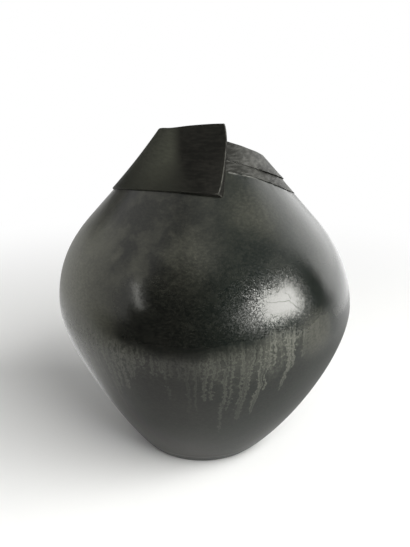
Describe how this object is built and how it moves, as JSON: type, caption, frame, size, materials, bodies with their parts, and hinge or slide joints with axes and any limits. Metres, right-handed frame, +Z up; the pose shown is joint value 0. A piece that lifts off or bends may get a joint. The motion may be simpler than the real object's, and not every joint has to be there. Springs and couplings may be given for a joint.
{
  "type": "round vase",
  "caption": "Round-bellied glazed stoneware vase on a small flat foot, with a tilted mouth of slab rings and a broad slab wrapped round its neck, for flowers or display.",
  "frame": {"origin": "centre of the flat foot, on the surface that the vase stands on", "axes": "+Z up through the vase; the broad slab of the collar faces -Y, and its free end points to +X"},
  "size_m": [0.3, 0.3, 0.351],
  "materials": {
    "dark_glaze": "satin-gloss near-black iron glaze with matte grey runs",
    "grey_glaze": "thin satin grey-black glaze, broken to pale grey along the edges",
    "bare_stoneware": "unglazed dark stoneware, wiped clean underneath"
  },
  "bodies": {
    "root": {"base_disc": "bare_stoneware", "lower_body": "dark_glaze", "upper_body": "dark_glaze", "collar_lower_ring": "grey_glaze", "collar_upper_ring": "grey_glaze", "collar_front_slab": "dark_glaze", "floor_seam_coil": "dark_glaze", "belly_seam_coil": "dark_glaze", "neck_seam_coil": "dark_glaze"}
  },
  "joints": []
}
